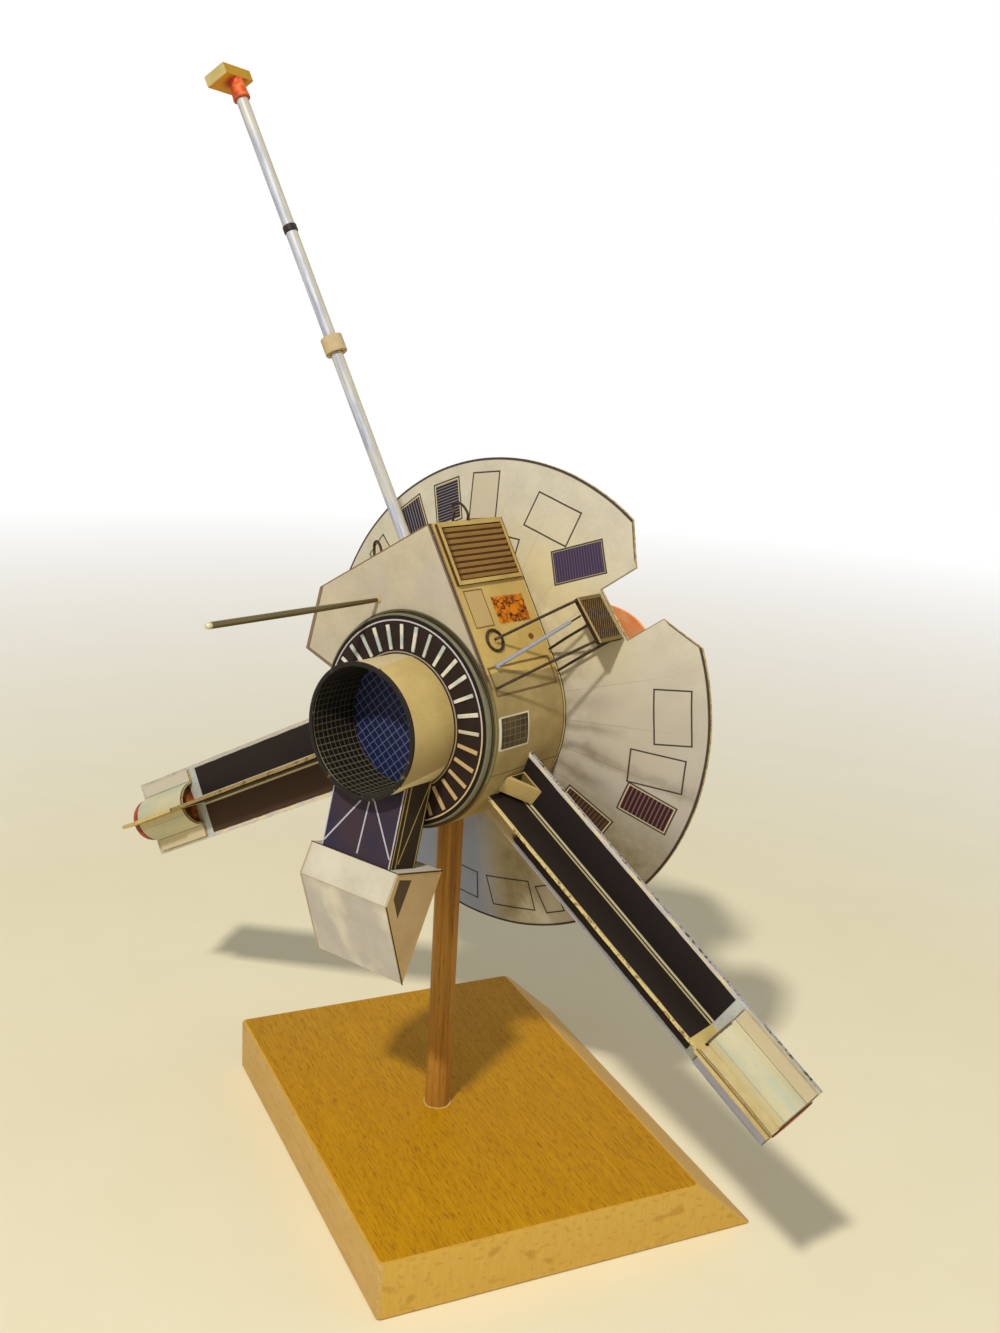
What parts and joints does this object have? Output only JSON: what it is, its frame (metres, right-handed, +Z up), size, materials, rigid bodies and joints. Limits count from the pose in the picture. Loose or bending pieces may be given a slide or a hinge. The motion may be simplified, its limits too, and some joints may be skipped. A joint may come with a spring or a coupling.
{
  "type": "card model of a deep-space probe on a wooden stand",
  "caption": "Card display model of a spin-stabilised deep-space probe with a dish, generator arms and a boom, on a peg in a bevelled wooden board.",
  "frame": {"origin": "underside of the board, straight below the peg", "axes": "+Z up, +Y along the board away from its front end, +X towards the bevelled long side"},
  "size_m": [0.1735, 0.2407, 0.3347],
  "materials": {
    "beech": "satin varnished beech",
    "dowel": "satin varnished ramin",
    "pale_card": "matt printed card",
    "dish_card": "matt printed card",
    "dark_card": "matt printed card",
    "blue_card": "matt printed card with a pale grid",
    "tan_card": "matt printed card",
    "gold_card": "matt printed card",
    "black_edge": "black inked edge",
    "coral": "matt printed card",
    "orange_core": "matt printed card",
    "silver_tube": "rolled paper with a metallic sheen",
    "brass_rod": "dull brass",
    "dark_wire": "black painted wire"
  },
  "bodies": {
    "root": {"adapter_can": "pale_card", "aft_rod": "brass_rod", "back_card": "pale_card", "boom_band": "black_edge", "boom_collar": "tan_card", "boom_lower_tube": "silver_tube", "boom_middle_tube": "silver_tube", "boom_upper_tube": "silver_tube", "can_floor": "blue_card", "can_rim": "black_edge", "dish": "dish_card", "drum": "pale_card", "feed_cup": "coral", "feed_horn": "pale_card", "feed_legs": "dark_wire", "front_card": "pale_card", "instrument_bay": "pale_card", "instrument_pod": "pale_card", "left_arm_panel": "dark_card", "left_arm_web": "dark_card", "left_fin_strip": "pale_card", "left_generator_cap": "orange_core", "left_generator_core": "orange_core", "left_generator_shroud": "pale_card", "left_root_gusset": "pale_card", "louvre_blades": "pale_card", "louvre_disc": "dark_card", "louvre_rings": "pale_card", "peg": "dowel", "plinth_board": "beech", "pod_bracket": "dark_card", "right_arm_panel": "dark_card", "right_arm_web": "dark_card", "right_fin_strip": "pale_card", "right_generator_cap": "orange_core", "right_generator_core": "orange_core", "right_generator_shroud": "pale_card", "right_root_gusset": "pale_card", "sensor_box": "gold_card", "sensor_socket": "coral", "side_louvre": "tan_card", "thruster_box_left": "tan_card", "thruster_box_right": "tan_card", "thruster_stays_left": "dark_wire", "thruster_stays_right": "dark_wire"}
  },
  "joints": []
}
